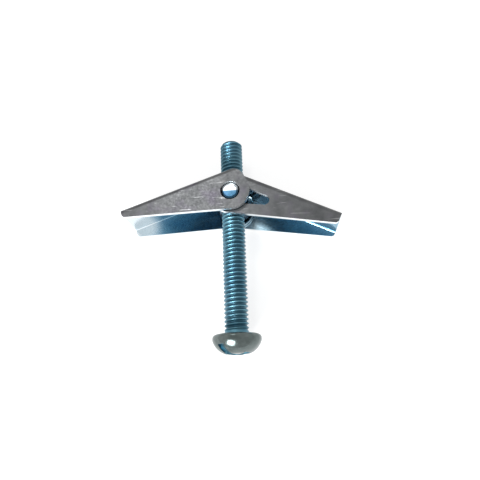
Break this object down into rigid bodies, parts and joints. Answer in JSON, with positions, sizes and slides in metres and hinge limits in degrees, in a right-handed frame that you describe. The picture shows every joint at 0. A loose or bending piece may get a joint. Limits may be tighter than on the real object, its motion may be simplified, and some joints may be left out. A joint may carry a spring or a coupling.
{
  "type": "spring toggle bolt",
  "caption": "Spring toggle bolt: machine screw with a threaded trunnion nut and two spring-loaded folding channel wings.",
  "frame": {"origin": "where the screw's axis crosses the flat underside of its head", "axes": "+Y along the screw from its head to its tip, +Z along the wings' pivot, up as the part lies on its side"},
  "size_m": [0.0533, 0.0545, 0.0142],
  "materials": {
    "screw_zinc": "bright zinc plate",
    "wing_zinc": "satin zinc plate",
    "nut_zinc": "zinc plate",
    "spring_steel": "plain spring wire"
  },
  "bodies": {
    "nut": {"trunnion_nut": "nut_zinc", "torsion_spring": "spring_steel"},
    "screw": {"machine_screw": "screw_zinc"},
    "left_wing": {"left_wing": "wing_zinc"},
    "right_wing": {"right_wing": "wing_zinc"}
  },
  "joints": [
    {"name": "screw_turn", "type": "hinge", "parent": "nut", "child": "screw", "pos_m": [0, 0.0334, 0], "axis": [0, 1, 0], "continuous": true},
    {"name": "left_wing_fold", "type": "hinge", "parent": "nut", "child": "left_wing", "pos_m": [0, 0.0334, 0], "axis": [0, 0, 1], "range_deg": [-2, 71], "stiffness_Nm_per_rad": 0.02, "deforming": ["torsion_spring"]},
    {"name": "right_wing_fold", "type": "hinge", "parent": "nut", "child": "right_wing", "pos_m": [0, 0.0334, 0], "axis": [0, 0, -1], "range_deg": [-10, 63], "stiffness_Nm_per_rad": 0.02, "deforming": ["torsion_spring"]}
  ]
}
